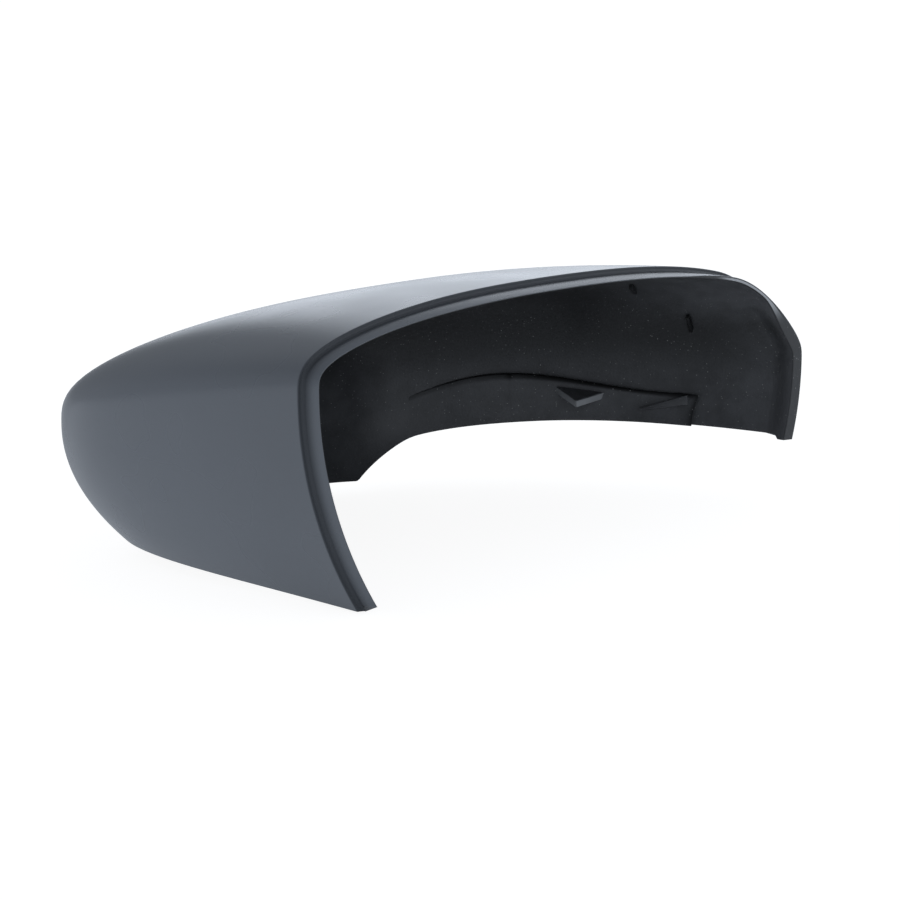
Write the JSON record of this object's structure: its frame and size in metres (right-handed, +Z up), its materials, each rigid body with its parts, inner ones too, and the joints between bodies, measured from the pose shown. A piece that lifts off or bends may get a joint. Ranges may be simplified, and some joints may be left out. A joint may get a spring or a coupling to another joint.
{
  "type": "wing mirror cover",
  "caption": "Moulded wing mirror cover: a curved shell open to the rear and below, with a half-lap rim, a lamp cut-out in the lower front edge and a snap hook inside.",
  "frame": {"origin": "on the flat end face of the rear rim's lip, at the top, above the plan centre", "axes": "+X towards the outer tip, +Y forwards to the nose, +Z up, as the cover sits on the mirror housing"},
  "size_m": [0.2156, 0.122, 0.0792],
  "materials": {
    "mirror_cover": "grey primer outside, bare grained black plastic inside"
  },
  "bodies": {
    "root": {"mirror_cover": "mirror_cover"}
  },
  "joints": []
}
